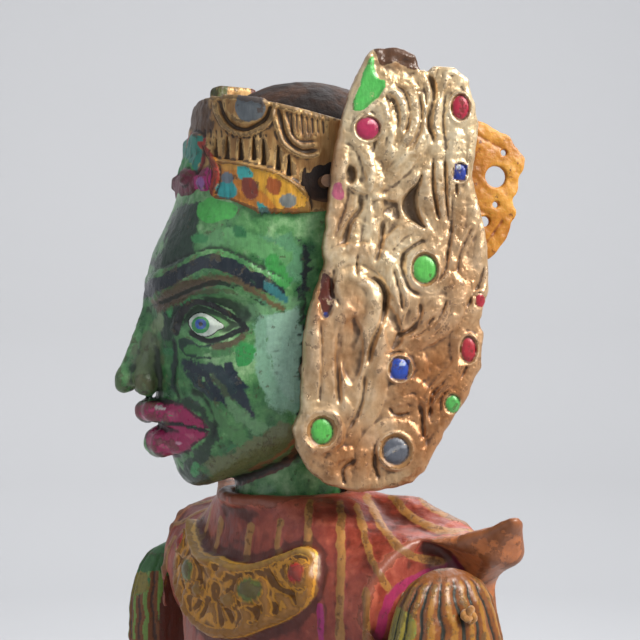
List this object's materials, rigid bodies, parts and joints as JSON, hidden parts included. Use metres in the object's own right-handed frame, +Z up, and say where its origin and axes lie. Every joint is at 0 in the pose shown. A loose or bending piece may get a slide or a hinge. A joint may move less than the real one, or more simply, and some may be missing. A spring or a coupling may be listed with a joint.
{
  "type": "rod puppet",
  "caption": "Carved wooden rod puppet with crowned head on a central rod, turning torso, jointed arms on hand rods and a cloth skirt.",
  "frame": {"origin": "tip of the central rod's spike, on the rod's axis", "axes": "+Z up along the rod, -Y the puppet's front, +X the puppet's left"},
  "size_m": [0.127, 0.0862, 0.4658],
  "materials": {
    "rod_wood": "worn bare wood, darkened by handling",
    "green_paint": "carved wood with worn mottled green paint",
    "gold_paint": "carved wood with aged bronze and gold paint",
    "red_paint": "carved wood with worn dark red paint and gold lines",
    "rawhide": "thin translucent painted rawhide",
    "bamboo": "split bamboo, bare",
    "washer_leather": "oiled leather",
    "cotton_cord": "twisted undyed cotton",
    "skirt_cloth": "printed cotton, brown ground with a cream lattice",
    "sash_cloth": "dark red satin cotton",
    "tack_brass": "dulled brass"
  },
  "bodies": {
    "rod_head": {"central_rod": "rod_wood", "rod_washer": "washer_leather", "head": "green_paint", "ear_wing_left": "gold_paint", "ear_wing_right": "gold_paint", "wing_pegs": "bamboo", "back_crest": "rawhide", "crest_pegs": "bamboo"},
    "rest_collar": {"rest_collar": "cotton_cord"},
    "torso": {"torso": "red_paint", "shoulder_cord": "cotton_cord", "skirt": "skirt_cloth", "waist_sash": "sash_cloth", "sash_ends": "sash_cloth", "skirt_tacks": "tack_brass"},
    "shoulder_loop_left": {"shoulder_loop_left": "cotton_cord"},
    "upper_arm_left": {"upper_arm_left": "green_paint", "shoulder_knot_left": "cotton_cord", "elbow_cord_left": "cotton_cord"},
    "forearm_left": {"forearm_hand_left": "green_paint"},
    "hand_tie_left": {"hand_tie_left": "cotton_cord"},
    "hand_rod_left": {"hand_rod_left": "rod_wood"},
    "shoulder_loop_right": {"shoulder_loop_right": "cotton_cord"},
    "upper_arm_right": {"upper_arm_right": "green_paint", "shoulder_knot_right": "cotton_cord", "elbow_cord_right": "cotton_cord"},
    "forearm_right": {"forearm_hand_right": "green_paint"},
    "hand_tie_right": {"hand_tie_right": "cotton_cord"},
    "hand_rod_right": {"hand_rod_right": "rod_wood"}
  },
  "joints": [
    {"name": "neck_slide", "type": "slide", "parent": "rod_head", "child": "rest_collar", "axis": [0, 0, 1], "range_m": [-0.008, 0]},
    {"name": "torso_turn", "type": "hinge", "parent": "rest_collar", "child": "torso", "pos_m": [0, 0, 0.275], "axis": [0, 0, 1], "continuous": true},
    {"name": "shoulder_swing_left", "type": "hinge", "parent": "torso", "child": "shoulder_loop_left", "pos_m": [0.0435, 0.0005, 0.362], "axis": [-1, 0, 0], "range_deg": [-35, 95]},
    {"name": "shoulder_raise_left", "type": "hinge", "parent": "shoulder_loop_left", "child": "upper_arm_left", "pos_m": [0.0435, 0.0005, 0.362], "axis": [0, -1, 0], "range_deg": [0, 42]},
    {"name": "elbow_left", "type": "hinge", "parent": "upper_arm_left", "child": "forearm_left", "pos_m": [0.0517, 0.0005, 0.283], "axis": [-1, 0, 0], "range_deg": [0, 100]},
    {"name": "rod_swing_left", "type": "hinge", "parent": "forearm_left", "child": "hand_tie_left", "pos_m": [0.0517, 0.0005, 0.213], "axis": [-1, 0, 0], "range_deg": [-70, 70]},
    {"name": "rod_tilt_left", "type": "hinge", "parent": "hand_tie_left", "child": "hand_rod_left", "pos_m": [0.0596, 0.0005, 0.213], "axis": [0, -1, 0], "range_deg": [0, 40]},
    {"name": "shoulder_swing_right", "type": "hinge", "parent": "torso", "child": "shoulder_loop_right", "pos_m": [-0.0435, 0.0005, 0.354], "axis": [-1, 0, 0], "range_deg": [-35, 95]},
    {"name": "shoulder_raise_right", "type": "hinge", "parent": "shoulder_loop_right", "child": "upper_arm_right", "pos_m": [-0.0435, 0.0005, 0.354], "axis": [0, 1, 0], "range_deg": [0, 42]},
    {"name": "elbow_right", "type": "hinge", "parent": "upper_arm_right", "child": "forearm_right", "pos_m": [-0.0517, 0.0005, 0.275], "axis": [-1, 0, 0], "range_deg": [0, 100]},
    {"name": "rod_swing_right", "type": "hinge", "parent": "forearm_right", "child": "hand_tie_right", "pos_m": [-0.0517, 0.0005, 0.205], "axis": [-1, 0, 0], "range_deg": [-70, 70]},
    {"name": "rod_tilt_right", "type": "hinge", "parent": "hand_tie_right", "child": "hand_rod_right", "pos_m": [-0.0596, 0.0005, 0.205], "axis": [0, 1, 0], "range_deg": [0, 40]}
  ]
}
